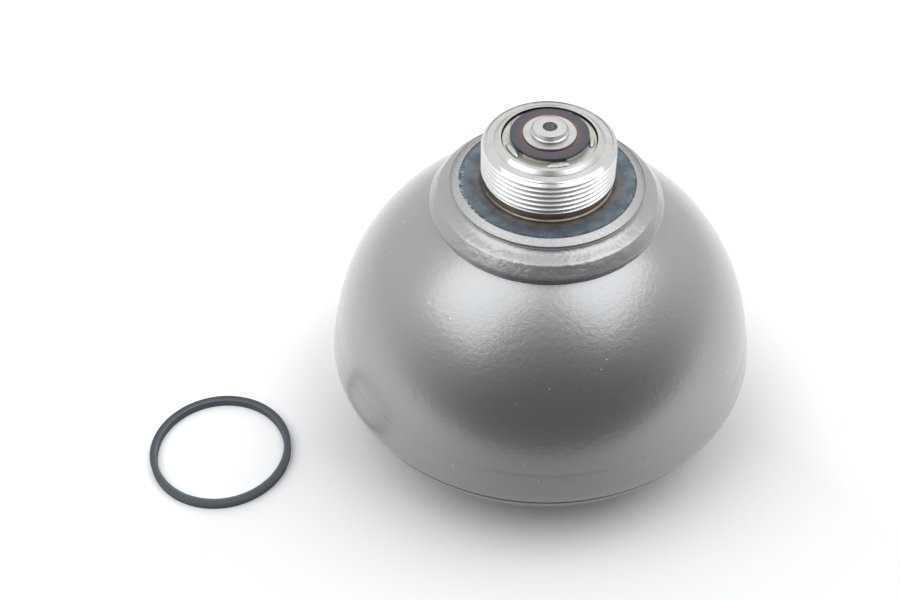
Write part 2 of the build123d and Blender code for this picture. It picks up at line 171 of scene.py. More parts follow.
def newMesh(name, points, faces):
    mesh = bpy.data.meshes.new(name)
    mesh.from_pydata(points, [], faces)
    return mesh


def addObject(name, data):
    thing = bpy.data.objects.new(name, data)
    bpy.context.scene.collection.objects.link(thing)
    return thing


def facesBetween(rings):
    # quads between each ring of point numbers and the next, or triangles at a pole
    faces = []
    for low, high in zip(rings, rings[1:]):
        for j in range(len(low)):
            k = (j + 1) % len(low)
            face = list(dict.fromkeys((low[j], low[k], high[k], high[j])))
            if len(face) > 2:
                faces.append(face)
    return faces


def turned(name, corners, segments=192, centre=(0, 0), steps=4):
    # revolves an outline about an upright axis, closed at its poles, with its faces outwards
    outline = [p * mm for p in rounded(corners, steps)]
    area = sum(a.cross(b) for a, b in zip(outline, outline[1:] + outline[:1]))
    if area < 0:
        outline.reverse()
    outline = [p for i, p in enumerate(outline) if (p - outline[i - 1]).length > 1e-8]
    rings, points = [], []
    for r, z in outline:
        count = 1 if r < 1e-7 else segments
        rings.append([len(points) + j % count for j in range(segments)])
        for j in range(count):
            a = 2 * pi * j / segments
            points.append((centre[0] * mm + r * cos(a), centre[1] * mm + r * sin(a), z))
    mesh = newMesh(name, points, facesBetween(rings + rings[:1]))
    weighNormals(mesh)
    return addObject(name, mesh)


def finishPiece(piece, material, body, slot, *standsFor):
    if material is not None:
        piece.data.materials.clear()
        piece.data.materials.append(material)
    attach(piece, body)
    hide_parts(*standsFor)


def newTree(name, values):
    # an empty geometry tree with a named input for each value; returns it with its input sockets
    kinds = {int: "Int", float: "Float", bpy.types.Material: "Material"}
    tree = bpy.data.node_groups.new(name, "GeometryNodeTree")
    tree.interface.new_socket("Geometry", in_out="INPUT", socket_type="NodeSocketGeometry")
    for label, value in values.items():
        tree.interface.new_socket(label, in_out="INPUT", socket_type="NodeSocket" + kinds[type(value)])
    tree.interface.new_socket("Geometry", in_out="OUTPUT", socket_type="NodeSocketGeometry")
    return tree, addNode(tree, "NodeGroupInput").outputs


def applyTree(piece, buildTree, values):
    # runs a tree on the piece and keeps the result as its plain mesh
    tree = buildTree(values)
    modifier = piece.modifiers.new(tree.name, "NODES")
    modifier.node_group = tree
    for item in tree.interface.items_tree:
        if item.item_type == "SOCKET" and item.in_out == "INPUT" and item.name in values:
            modifier[item.identifier] = values[item.name]
    bpy.context.view_layer.update()
    mesh = bpy.data.meshes.new_from_object(piece.evaluated_get(bpy.context.evaluated_depsgraph_get()))
    piece.modifiers.remove(modifier)
    piece.data = mesh
    weighNormals(mesh)


# Heights and radii that the frame gives, in millimetres
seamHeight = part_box("lower_shell")[1].z / mm
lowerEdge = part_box("lower_shell")[1].x / mm
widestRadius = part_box("upper_shell")[1].x / mm
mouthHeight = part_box("neck")[1].z / mm
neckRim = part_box("neck")[1].x / mm
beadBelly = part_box("neck_weld")[1].x / mm
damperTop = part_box("damper_body")[1].z / mm
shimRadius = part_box("upper_shim_1")[1].x / mm
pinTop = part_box("damper_pin")[1].z / mm
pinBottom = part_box("damper_pin")[0].z / mm
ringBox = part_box("seal_ring")
ringTop = ringBox[1].z / mm

print("stage: finishes")

# Grey enamel with fine aluminium in it, sprayed and stoved over drawn steel: a broad satin sheen,
# an orange-peel skin that breaks up the highlights, and a few dust nibs
enamelLook = {
    "base": "#969696", "metallic": 0.8, "roughness": 0.36, "coat": 1.0, "coatRoughness": 0.2, "mottle": 9,
    "peel": 1.3, "peelHeight": 0.055, "grain": 0.45, "grainHeight": 0.026, "drawn": 22, "drawnHeight": 0.02,
    "nib": 4.2, "nibSize": 0.05, "nibShare": 0.6, "nibHeight": 0.03, "nibColour": "#e6e6e6",
}


def sprayedEnamel(name, **changes):
    look = enamelLook | changes
    material, tree, shader, position = newMaterial(name, {
        "Metallic": look["metallic"], "Roughness": look["roughness"], "Specular IOR Level": 0.5,
        "Coat Weight": look["coat"], "Coat Roughness": look["coatRoughness"]})
    body = mottled(tree, position, look["mottle"], 3, {
        0.35: look["base"], 0.65: look.get("second", look["base"])})[1]
    nibs = addNode(tree, "ShaderNodeTexVoronoi", {"Vector": position, "Scale": perMetre(look["nib"])})
    chosen = addNode(tree, "ShaderNodeMath", [nibs.outputs["Color"], look["nibShare"]], "LESS_THAN")
    spot = addNode(tree, "ShaderNodeMapRange", [
        nibs.outputs["Distance"], look["nibSize"] * 0.6, look["nibSize"], 1.0, 0.0])
    nib = addNode(tree, "ShaderNodeMath", [spot, chosen], "MULTIPLY")
    tinted = addNode(tree, "ShaderNodeMix", {"Factor": nib, 6: body, 7: colour(look["nibColour"])},
                     data_type="RGBA")
    normal = None
    for layer, detail in (("drawn", 1), ("peel", 2), ("grain", 2)):
        height = addNode(tree, "ShaderNodeTexNoise", {
            "Vector": position, "Scale": perMetre(look[layer]), "Detail": detail})
        normal = addNode(tree, "ShaderNodeBump", {
            "Strength": 1.0, "Distance": look[layer + "Height"] * mm, "Height": height, "Normal": normal})
    normal = addNode(tree, "ShaderNodeBump", {
        "Strength": 1.0, "Distance": look["nibHeight"] * mm, "Height": nib, "Normal": normal})
    feed(tree, shader, {"Base Color": tinted.outputs[2], "Normal": normal, "Coat Normal": normal})
    return material


enamel = sprayedEnamel("sprayed grey enamel")
# thicker where it ran into the weld's lumps: a coarser skin
thickEnamel = sprayedEnamel(
    "grey enamel over weld", base="#9b9b9b", metallic=0.75, roughness=0.38,
    peel=1.1, peelHeight=0.09, grain=0.5, grainHeight=0.035, drawn=6, drawnHeight=0.08)
# a dry mist of it on the neck's rim: paler, matt and finely speckled
thinEnamel = sprayedEnamel(
    "thin grey overspray", base="#a3a3a2", second="#b6b6b5", mottle=0.5, metallic=0.7, roughness=0.5,
    coat=0.1, peel=0.7, peelHeight=0.02, grain=0.3, grainHeight=0.016, drawn=6, drawnHeight=0.01)

# Free-cutting steel, turned bright: circular tool marks stretch each highlight across them
turnedLook = {
    "base": "#e6e6e5", "roughness": 0.36, "anisotropic": 0.6, "cloud": 4,
    "feed": 0.35, "feedHeight": 0.01,     # real feed marks are about 0.1 mm apart, drawn coarser to show
}


def turnedSteel(name, **changes):
    look = turnedLook | changes
    material, tree, shader, position = newMaterial(name, {
        "Metallic": 1.0, "Roughness": look["roughness"], "Anisotropic": look["anisotropic"],
        "Anisotropic Rotation": 0.25})
    height = addNode(tree, "ShaderNodeSeparateXYZ", [position]).outputs["Z"]
    along = addNode(tree, "ShaderNodeMath", [height, 1 / mm, axisDistance(tree, position)], "MULTIPLY_ADD")
    marks = addNode(tree, "ShaderNodeTexNoise", {"W": along, "Scale": 1 / look["feed"], "Detail": 3},
                    noise_dimensions="1D")
    shade = mottled(tree, position, look["cloud"], 3, {
        0.3: look.get("second", look["base"]), 0.7: look["base"]})[1]
    bump = addNode(tree, "ShaderNodeBump", {
        "Strength": 1.0, "Distance": look["feedHeight"] * mm, "Height": marks})
    tangent = addNode(tree, "ShaderNodeTangent", direction_type="RADIAL", axis="Z")
    feed(tree, shader, {"Base Color": shade, "Normal": bump, "Tangent": tangent})
    return material


brightSteel = turnedSteel("bright turned steel")
# the mouth's faces, cut last with a wide tool: sharper glints that run round them
facedSteel = turnedSteel(
    "faced steel", base="#c9c9c8", second="#d4d4d3", roughness=0.26, anisotropic=0.82,
    feed=0.5, feedHeight=0.016)
# pin and spacers, tumbled after turning: soft, even shine
satinSteel = turnedSteel(
    "satin turned steel", base="#d8d8d7", second="#cacac9", anisotropic=0.3, feedHeight=0.006)
# the bore, painted near black: painted shade for the dark line under the mouth's edge and the hollow below
boreShadeSteel = turnedSteel("bore steel with painted shade", base="#35332f", roughness=0.4, anisotropic=0.0, feedHeight=0.002)
# the pin's hole, left as the drill cut it: grey, with coarse rings
drilledSteel = turnedSteel(
    "drilled steel", base="#979590", roughness=0.4, anisotropic=0.0, feed=0.5, feedHeight=0.02)
# the thread's relief, tempered by the weld's heat: straw brown, still glossy
strawSteel = turnedSteel(
    "straw-tempered steel", base="#aa9f90", second="#968e88", roughness=0.22, feedHeight=0.004)
# the stakes, torn by the punch: bright but matt
punchedSteel = turnedSteel(
    "punched steel", base="#c3c2bd", roughness=0.5, anisotropic=0.0, feedHeight=0.002)
# stampings inside the shells: plain grey, no tool marks
plainSteel = turnedSteel(
    "pressed steel", base="#b2b1ae", roughness=0.42, anisotropic=0.0, feedHeight=0.001)
# zinc plate on the gas plug, clear passivated: a pale, soft grey
zincPlate = turnedSteel(
    "zinc-plated steel", base="#c4c6c3", roughness=0.38, anisotropic=0.0, feedHeight=0.001)
# annealed copper of the plug's ring: soft pink-brown metal
annealedCopper = turnedSteel(
    "annealed copper", base="#b87553", roughness=0.35, anisotropic=0.0, feedHeight=0.001)

# Phosphated sintered iron of the valve body: pale, slightly warm and matt; the flank that carries the shims
# is painted near black, a painted shadow of the gap under the shims
ironLook = {"base": "#bebbb0", "second": "#dcdad2", "roughness": 0.5, "grain": 0.5, "grainHeight": 0.02,
            "flankShade": "#1d1c1a", "flankShadeFrom": 0.62, "flankShadeFull": 0.42}     # below the body's top


def phosphatedIron(name, look):
    material, tree, shader, position = newMaterial(name, {"Metallic": 0.8, "Roughness": look["roughness"]})
    grain, shade = mottled(tree, position, look["grain"], 3, {0.3: look["base"], 0.7: look["second"]})
    bump = addNode(tree, "ShaderNodeBump", {"Distance": look["grainHeight"] * mm, "Height": grain})
    height = addNode(tree, "ShaderNodeSeparateXYZ", [position]).outputs["Z"]
    # painted shadow: the flank under the shims fades to near black
    flankShade = addNode(tree, "ShaderNodeMapRange", [
        height, (damperTop - look["flankShadeFrom"]) * mm, (damperTop - look["flankShadeFull"]) * mm, 0.0, 1.0])
    flankShaded = addNode(tree, "ShaderNodeMix", {"Factor": flankShade, 6: shade, 7: colour(look["flankShade"])},
                      data_type="RGBA")
    feed(tree, shader, {"Base Color": flankShaded.outputs[2], "Normal": bump})
    return material


sinteredIron = phosphatedIron("phosphated iron", ironLook)

# Steel blued by the heat of the weld: oxide colours in rings, straw and bronze next to the thread's foot,
# slate blue outside, with blotches and flecks of overspray near the rim; the palest straw, on the fillet at
# the thread's foot, is lighter than the oxide, a painted highlight of that edge
tintLook = {
    "inner": 16.9, "outer": 23.3, "roughness": 0.5, "blotch": 3.4, "cloud": 3.2, "cloudDepth": 0.8,
    # the first two stops are straw oxide made pale as a painted highlight on the relief's foot fillet
    "rings": {0.0: "#f2dfc2", 0.038: "#d6b48c", 0.051: "#4b4f60", 0.14: "#6c6968", 0.26: "#837a71",
              0.38: "#74787b", 0.6: "#747f87", 0.85: "#78828a", 0.94: "#68727a", 1.0: "#454d53"},
    "wander": 0.8, "wanderFrom": 0.2, "wanderFull": 2.2,     # the rings stay round near the thread's foot
    "cloudHeight": 0.006,
    "fleck": 0.8, "fleckColour": "#b9bcbe", "fleckFrom": 0.70, "fleckTo": 0.76, "fleckDepth": 0.8,
    "rimFrom": 21.0, "rimTo": 23.2, "rimFlecks": 0.1,
    "oversprayed": (-0.97, -0.25, 0), "sideFrom": 0.2, "sideTo": 0.26, "sideFlecks": 1.1,
}


def tintedSteel(name, look):
    material, tree, shader, position = newMaterial(name, {"Metallic": 0.8, "Roughness": look["roughness"]})
    radius = axisDistance(tree, position)
    blotch = addNode(tree, "ShaderNodeTexNoise", {
        "Vector": position, "Scale": perMetre(look["blotch"]), "Detail": 4, "Roughness": 0.6})
    shift = addNode(tree, "ShaderNodeMath", [blotch, -0.5], "ADD")
    free = addNode(tree, "ShaderNodeMapRange", [
        radius, look["inner"] + look["wanderFrom"], look["inner"] + look["wanderFull"],
        0.0, 2 * look["wander"]])
    wandering = addNode(tree, "ShaderNodeMath", [shift, free, radius], "MULTIPLY_ADD")
    share = addNode(tree, "ShaderNodeMapRange", [wandering, look["inner"], look["outer"], 0.0, 1.0])
    rings = addNode(tree, "ShaderNodeValToRGB", [share], stops=look["rings"])
    cloud, cloudy = mottled(
        tree, position, look["cloud"], 5, {0.35: "#c0c4c9", 0.62: "#ffffff"}, Roughness=0.6)
    shaded = addNode(tree, "ShaderNodeMix", {"Factor": look["cloudDepth"], 6: rings, 7: cloudy},
                     data_type="RGBA", blend_type="MULTIPLY")
    # overspray flecks, more of them towards the rim and on one side
    speckle = addNode(tree, "ShaderNodeTexNoise", {
        "Vector": position, "Scale": perMetre(look["fleck"]), "Detail": 3, "Roughness": 0.7})
    nearRim = addNode(tree, "ShaderNodeMapRange", [
        radius, look["rimFrom"], look["rimTo"], 0.0, look["rimFlecks"]])
    outwards = addNode(tree, "ShaderNodeVectorMath", [position], "NORMALIZE")
    sideways = addNode(tree, "ShaderNodeVectorMath", [outwards, look["oversprayed"]], "DOT_PRODUCT")
    thick = addNode(tree, "ShaderNodeMapRange", [
        sideways.outputs["Value"], look["sideFrom"], look["sideTo"], 0.0, look["sideFlecks"]])
    more = addNode(tree, "ShaderNodeMath", [nearRim, thick, nearRim], "MULTIPLY_ADD")
    reach = addNode(tree, "ShaderNodeMath", [speckle, more], "ADD")
    fleck = addNode(tree, "ShaderNodeMapRange", [
        reach, look["fleckFrom"], look["fleckTo"], 0.0, look["fleckDepth"]])
    flecked = addNode(tree, "ShaderNodeMix", {
        "Factor": fleck, 6: shaded.outputs[2], 7: colour(look["fleckColour"])}, data_type="RGBA")
    bump = addNode(tree, "ShaderNodeBump", {"Distance": look["cloudHeight"] * mm, "Height": cloud})
    feed(tree, shader, {"Base Color": flecked.outputs[2], "Normal": bump})
    return material


bluedSteel = tintedSteel("heat-blued steel", tintLook)

# Blued spring strip of the shims: purple near the spacer, blue at the rim, smooth and fairly sharp
shimLook = {"inner": 7.6, "outer": 11.1, "roughness": 0.3, "anisotropic": 0.3, "cloud": 2.5,
            "cloudHeight": 0.002, "wander": 1.6,
            "rings": {0.0: "#7c6969", 0.35: "#6f6266", 0.7: "#636069", 1.0: "#596069"}}


def springStrip(name, look):
    material, tree, shader, position = newMaterial(name, {
        "Metallic": 1.0, "Roughness": look["roughness"], "Anisotropic": look["anisotropic"]})
    cloud = addNode(tree, "ShaderNodeTexNoise", {
        "Vector": position, "Scale": perMetre(look["cloud"]), "Detail": 3})
    wandering = addNode(tree, "ShaderNodeMath", [cloud, look["wander"], axisDistance(tree, position)],
                        "MULTIPLY_ADD")
    share = addNode(tree, "ShaderNodeMapRange", [wandering, look["inner"], look["outer"], 0.0, 1.0])
    rings = addNode(tree, "ShaderNodeValToRGB", [share], stops=look["rings"])
    bump = addNode(tree, "ShaderNodeBump", {"Distance": look["cloudHeight"] * mm, "Height": cloud})
    feed(tree, shader, {"Base Color": rings, "Normal": bump})
    return material


springSteel = springStrip("blued spring steel", shimLook)

# Moulded nitrile rubber: dull, dark blue-grey, with a faint bloom; on the ring the side walls get a flat
# darker colour than the open top face, a painted shade
rubberLook = {"base": "#485158", "second": "#576168", "roughness": 0.5, "bloom": 2.0, "bloomHeight": 0.008}
sidesInPaintedShade = {"side": "#3a4146", "open": ringTop, "openFrom": 0.12, "openFull": 0.03}     # below its top


def mouldedRubber(name, **changes):
    look = rubberLook | changes
    material, tree, shader, position = newMaterial(name, {
        "Roughness": look["roughness"], "Specular IOR Level": 0.5})
    bloom, shade = mottled(tree, position, look["bloom"], 4, {0.35: look["base"], 0.65: look["second"]})
    # painted shade: the sides below the open top face take a flat darker colour
    if "open" in look:
        height = addNode(tree, "ShaderNodeSeparateXYZ", [position]).outputs["Z"]
        face = addNode(tree, "ShaderNodeMapRange", [
            height, (look["open"] - look["openFrom"]) * mm, (look["open"] - look["openFull"]) * mm,
            0.0, 1.0])
        shade = addNode(tree, "ShaderNodeMix", {"Factor": face, 6: colour(look["side"]), 7: shade},
                        data_type="RGBA").outputs[2]
    bump = addNode(tree, "ShaderNodeBump", {"Distance": look["bloomHeight"] * mm, "Height": bloom})
    feed(tree, shader, {"Base Color": shade, "Normal": bump})
    return material


ringRubber = mouldedRubber("moulded ring rubber", **sidesInPaintedShade)
# the diaphragm's own, soaked in oil: nearly black
diaphragmRubber = mouldedRubber("moulded diaphragm rubber", base="#1b1c1e", second="#232426", roughness=0.6)

print("stage: shells")
shell = {
    "domeRadius": 58.4, "wall": 4.0, "centreRise": 2.7, "hole": 24.05, "creaseRise": 11.1, "bandStep": 0.03,
    "bandBend": 1.35, "lipRise": 3.7, "lipInset": 1.15, "groove": 0.22, "rootLand": 0.9,
}
domeCentre = seamHeight + shell["centreRise"]
innerRadius = shell["domeRadius"] - shell["wall"]
grooveRoot = innerRadius + shell["rootLand"]


def grooveRise(radius):
    # height of the seam groove's side above or below the seam
    return shell["groove"] * (radius - grooveRoot) / (lowerEdge - grooveRoot)


def domeHeight(radius, at):
    return domeCentre + sqrt(radius**2 - at**2)


def domeReach(radius, height):
    # how far from the axis a sphere about the dome's centre is at a height
    return sqrt(radius**2 - (height - domeCentre)**2)


def angleAt(radius, at):
    # angle at which a circle comes to a distance from the axis
    return angleOf(at, sqrt(radius**2 - at**2))


def domeArc(radius, start, end, steps):
    return arc(0, domeCentre, radius, start, end, steps)


def upperShellOutline():
    creaseZ = seamHeight + shell["creaseRise"]
    creaseR = domeReach(shell["domeRadius"], creaseZ)
    lipZ = seamHeight + shell["lipRise"]
    swell = widestRadius - creaseR - shell["bandStep"]
    skirt = [(widestRadius - swell * ((z - lipZ) / (creaseZ - lipZ))**shell["bandBend"], z, 0)
             for z in [creaseZ + (lipZ - creaseZ) * i / 14 for i in range(15)]]
    lipDrop = lipZ - seamHeight - grooveRise(widestRadius - shell["lipInset"])
    turnIn = [(widestRadius - shell["lipInset"] * (1 - cos(a)), lipZ - lipDrop * sin(a), 0)
              for a in [pi / 2 * i / 12 for i in range(1, 13)]]
    outer = domeArc(shell["domeRadius"], angleAt(shell["domeRadius"], shell["hole"]),
                    angleOf(creaseR, creaseZ - domeCentre), 72)
    inner = domeArc(innerRadius, 0, angleAt(innerRadius, shell["hole"]), 40)
    return edged(outer, -1, 0.3) + edged(skirt, 0, 0.3) + edged(turnIn, -1, 0.25) + [
        (grooveRoot, seamHeight, 0), (innerRadius, seamHeight, 0.1)] + inner


finishPiece(turned("upperShell", upperShellOutline(), 288), enamel, "vessel", "shell_paint", "upper_shell")

dish = {"crown": 104.0, "knuckle": 16.0, "lean": 18.0, "wall": 5.0, "flat": 16.0, "bossHole": 9.0,
        "bossLeg": 1.5, "pocket": 54.0, "pocketDepth": 2.5, "insetWeld": 0.35, "weldCrown": 0.15}
crownCentre = sqrt(dish["crown"]**2 - dish["flat"]**2)
knuckleR = lowerEdge - dish["knuckle"] * cos(radians(dish["lean"]))
knuckleZ = crownCentre - sqrt((dish["crown"] - dish["knuckle"])**2 - knuckleR**2)
knuckleAngle = angleOf(knuckleR, knuckleZ - crownCentre)
ledgeHeight = seamHeight - dish["pocketDepth"]


def lowerShellOutline():
    wall = dish["wall"]
    flatAngle = angleOf(dish["flat"], -crownCentre)
    innerCrown = dish["crown"] - wall
    innerFlat = sqrt(innerCrown**2 - (crownCentre - wall)**2)
    innerKnuckle = dish["knuckle"] - wall
    ledgeAngle = angleOf(sqrt(innerKnuckle**2 - (knuckleZ - ledgeHeight)**2), ledgeHeight - knuckleZ)
    crownOut = arc(0, crownCentre, dish["crown"], flatAngle, knuckleAngle, 36)
    knuckleOut = arc(knuckleR, knuckleZ, dish["knuckle"], knuckleAngle, -dish["lean"], 20)
    knuckleIn = arc(knuckleR, knuckleZ, innerKnuckle, ledgeAngle, knuckleAngle, 12)
    crownIn = arc(0, crownCentre, innerCrown, knuckleAngle, angleOf(innerFlat, wall - crownCentre), 24)
    outside = edged(crownOut, 0, 0.4) + edged(knuckleOut, -1, 0.2)[1:]
    return [(dish["bossHole"] + dish["bossLeg"], 0, 0.1)] + outside + [
        (grooveRoot, seamHeight, 0), (dish["pocket"], seamHeight, 0.1), (dish["pocket"], ledgeHeight, 0.1),
    ] + knuckleIn + crownIn[1:] + [(dish["bossHole"], wall, 0.2), (dish["bossHole"], dish["bossLeg"], 0.05)]


finishPiece(turned("lowerShell", lowerShellOutline(), 256), enamel, "vessel", "shell_paint", "lower_shell")

weldFace = lowerEdge - dish["insetWeld"]
weldOutline = [(grooveRoot, seamHeight, 0)] + [
    (weldFace + dish["weldCrown"] * (1 - t * t), seamHeight + grooveRise(weldFace) * t, 0)
    for t in (-1, -0.6, -0.2, 0.2, 0.6, 1)]
finishPiece(turned("seamWeld", weldOutline, 256), enamel, "vessel", "shell_paint", "shell_weld")

print("stage: neck with its thread")
neckSizes = {
    "seatDrop": 13.5, "thread": 17.5, "relief": 16.95, "reliefRise": 2.4, "reliefRounding": 0.3,
    "lead": 1.85, "ledgeOuter": 16.2, "ledgeInner": 14.05, "ledgeFall": 0.8, "ledgeTilt": 0.05,
    "ledgeRounding": 1.3, "lipOuter": 13.35, "lipInner": 12.35, "lipRise": 0.25,
    "seat": 23.25, "seatStep": 0.12, "rimFall": 0.22, "rimRounding": 0.5, "flange": 1.9, "spigot": 24.0,
    "bore": 12.1, "boreFall": 0.55, "shoulder": 1.2, "chamberDepth": 8.2, "throatStep": 1.9,
    "damperDepth": 0.4, "damperHeight": 7.9,
}
threadForm = {"Pitch": 1.5, "Depth": 0.85, "Groove": 0.8, "Root": 0.1, "Phase": 0.08}
threadRows = 22                 # rows of the mesh for each turn of the thread
seatHeight = mouthHeight - neckSizes["seatDrop"]
flangeUnder = seatHeight - neckSizes["flange"]
reliefTop = seatHeight + neckSizes["reliefRise"]
shoulderHeight = mouthHeight - neckSizes["damperDepth"] - neckSizes["damperHeight"]


def neckOutline():
    n = neckSizes
    leadFoot = mouthHeight - n["lead"]
    rowStep = threadForm["Pitch"] / threadRows
    threadFoot = reliefTop + n["thread"] - n["relief"]
    rows = int((leadFoot - threadFoot) / rowStep)
    wall = [(n["thread"], threadFoot + (leadFoot - threadFoot) * i / rows, 0) for i in range(rows + 1)]
    ledge = (n["ledgeOuter"], mouthHeight - n["ledgeFall"] - n["ledgeTilt"])
    lead = [(n["thread"] + (ledge[0] - n["thread"]) * t, leadFoot + (ledge[1] - leadFoot) * t, 0)
            for t in [i / 20 for i in range(1, 17)]]
    footCone = [(n["relief"] + (n["thread"] - n["relief"]) * i / 6,
                 reliefTop + (threadFoot - reliefTop) * i / 6, 0) for i in range(6)]
    chamber = n["bore"] - n["shoulder"]
    throat = chamber - n["throatStep"]
    chamberFloor = shoulderHeight - n["chamberDepth"]
    under = domeArc(innerRadius, angleAt(innerRadius, throat), angleAt(innerRadius, n["spigot"]), 12)
    return under + [
        (n["spigot"], flangeUnder, 0), (neckRim, flangeUnder, 0.2),
        (neckRim, seatHeight - n["rimFall"], n["rimRounding"]),
        (n["seat"], seatHeight - n["seatStep"], 0.03), (n["seat"], seatHeight, 0.05),
        (n["relief"], seatHeight, n["reliefRounding"]),
    ] + footCone + wall + lead + [
        (*ledge, n["ledgeRounding"]), (n["ledgeInner"], mouthHeight - n["ledgeFall"], 0.2),
        (n["lipOuter"], mouthHeight + n["lipRise"], 0.12),
        (n["lipInner"], mouthHeight + n["lipRise"], 0.08),
        (n["bore"], mouthHeight - n["boreFall"], 0.08), (n["bore"], shoulderHeight, 0.05),
        (chamber, shoulderHeight, 0.1), (chamber, chamberFloor + n["throatStep"], 0.1),
        (throat, chamberFloor, 0.2)]


def threadTree(values):
    # cuts a helical groove into every wall that stands above the seat, then gives each zone its finish
    tree, sizes = newTree("helical thread", values)
    position = addNode(tree, "GeometryNodeInputPosition")
    place = addNode(tree, "ShaderNodeSeparateXYZ", [position]).outputs
    radius = axisDistance(tree, position, 1)
    angle = addNode(tree, "ShaderNodeMath", [place["Y"], place["X"]], "ARCTAN2")
    turns = addNode(tree, "ShaderNodeMath", [angle, 2 * pi], "DIVIDE")
    climb = addNode(tree, "ShaderNodeMath", [place["Z"], sizes["Pitch"]], "DIVIDE")
    lag = addNode(tree, "ShaderNodeMath", [climb, turns], "SUBTRACT")
    shifted = addNode(tree, "ShaderNodeMath", [lag, sizes["Phase"]], "ADD")
    phase = addNode(tree, "ShaderNodeMath", [shifted], "FRACT")
    centred = addNode(tree, "ShaderNodeMath", [phase, 0.5], "SUBTRACT")
    away = addNode(tree, "ShaderNodeMath", [centred], "ABSOLUTE")
    doubled = addNode(tree, "ShaderNodeMath", [away, 2.0], "MULTIPLY")
    cut = addNode(tree, "ShaderNodeMapRange", [doubled, sizes["Root"], sizes["Groove"], 1.0, 0.0])
    deep = addNode(tree, "ShaderNodeMath", [cut, sizes["Depth"]], "MULTIPLY")
    cutRadius = addNode(tree, "ShaderNodeMath", [sizes["Thread Radius"], deep], "SUBTRACT")
    kept = addNode(tree, "ShaderNodeMath", [radius, cutRadius], "MINIMUM")
    ratio = addNode(tree, "ShaderNodeMath", [kept, radius], "DIVIDE")
    scale = addNode(tree, "ShaderNodeCombineXYZ", [ratio, ratio, 1.0])
    moved = addNode(tree, "ShaderNodeVectorMath", [position, scale], "MULTIPLY")
    above = addNode(tree, "FunctionNodeCompare", [place["Z"], sizes["Wall Foot"]], "GREATER_THAN")
    grooved = addNode(tree, "GeometryNodeSetPosition", {
        "Geometry": sizes["Geometry"], "Selection": above, "Position": moved})
    finished = addNode(tree, "GeometryNodeRealizeInstances", [grooved])
    # the tint covers the seat and the relief, the coat the rim and what is under it
    low = addNode(tree, "FunctionNodeCompare", [place["Z"], sizes["Relief Top"]], "LESS_THAN")
    outside = addNode(tree, "FunctionNodeCompare", [radius, sizes["Tint Radius"]], "GREATER_THAN")
    seat = addNode(tree, "FunctionNodeBooleanMath", [low, outside], "AND")
    relief = addNode(tree, "FunctionNodeBooleanMath", [seat, above], "AND")
    mouth = addNode(tree, "FunctionNodeCompare", [place["Z"], sizes["Faced Foot"]], "GREATER_THAN")
    rim = addNode(tree, "FunctionNodeCompare", [radius, sizes["Seat Radius"]], "GREATER_THAN")
    bore = addNode(tree, "FunctionNodeCompare", [radius, sizes["Bore Radius"]], "LESS_THAN")
    # the bore's near-black finish is painted shade
    for finish, zone in (("Bright", None), ("Tinted", seat), ("Tempered", relief), ("Faced", mouth),
                         ("Coated", rim), ("Bore Shade", bore)):
        finished = addNode(tree, "GeometryNodeSetMaterial", {
            "Geometry": finished, "Selection": zone, "Material": sizes[finish]})
    addNode(tree, "NodeGroupOutput", [finished])
    return tree


neck = turned("threadedNeck", neckOutline(), 320)
applyTree(neck, threadTree, threadForm | inMetres({
    "Pitch": threadForm["Pitch"], "Depth": threadForm["Depth"], "Thread Radius": neckSizes["thread"],
    "Wall Foot": seatHeight + neckSizes["reliefRounding"], "Seat Radius": neckSizes["seat"],
    "Relief Top": reliefTop, "Tint Radius": neckSizes["relief"] * 0.9,
    "Bore Radius": neckSizes["lipInner"] - 0.05, "Faced Foot": mouthHeight - neckSizes["lead"],
}) | {"Bright": brightSteel, "Tinted": bluedSteel, "Tempered": strawSteel, "Faced": facedSteel,
      "Coated": thinEnamel, "Bore Shade": boreShadeSteel})
finishPiece(neck, None, "vessel", "neck_steel", "neck")

print("stage: bead round the neck")
bead = {"topInset": 0.5, "hollowReach": 0.2, "hollowFall": 3.3, "browReach": 1.3, "browRise": 0.78,
        "crestReach": 3.35, "crestFall": 4.2, "shoulderReach": 0.95, "shoulderFall": 1.2, "bellyFall": 7.0,
        "toeReach": 4.3, "buried": 0.5, "lumpyFall": 3.2, "freeReach": 2.5}
beadRoughness = {"Wave": 3.6, "Wave Height": 0.3, "Lump": 0.8, "Lump Height": 0.08}


def beadOutline():
    # the top falls gently from under the rim to a crest, the side turns down to a belly, then in to the toe
    top = Vector((neckRim - bead["topInset"], flangeUnder))
    crest = Vector((neckRim + bead["crestReach"], seatHeight - bead["crestFall"]))
    belly = Vector((beadBelly, seatHeight - bead["bellyFall"]))
    toeR = neckRim + bead["toeReach"]
    toe = Vector((toeR, domeHeight(shell["domeRadius"] - bead["buried"], toeR)))
    hollow = Vector((neckRim + bead["hollowReach"], seatHeight - bead["hollowFall"]))
    brow = crest - Vector((bead["browReach"], -bead["browRise"]))
    upper = [(1 - t)**3 * top + 3 * t * (1 - t)**2 * hollow + 3 * t * t * (1 - t) * brow + t**3 * crest
             for t in [i / 24 for i in range(25)]]
    shoulder = crest + Vector((bead["shoulderReach"], -bead["shoulderFall"]))
    lower = [(1 - t)**2 * crest + 2 * t * (1 - t) * shoulder + t * t * belly
             for t in [i / 10 for i in range(1, 11)]]
    side = [belly.lerp(toe, i / 8) for i in range(1, 9)]
    foot = domeHeight(shell["domeRadius"] - bead["buried"], neckSizes["spigot"])
    return [(p.x, p.y, 0) for p in upper + lower + side] + [
        (neckSizes["spigot"], foot, 0), (neckSizes["spigot"], flangeUnder, 0)]


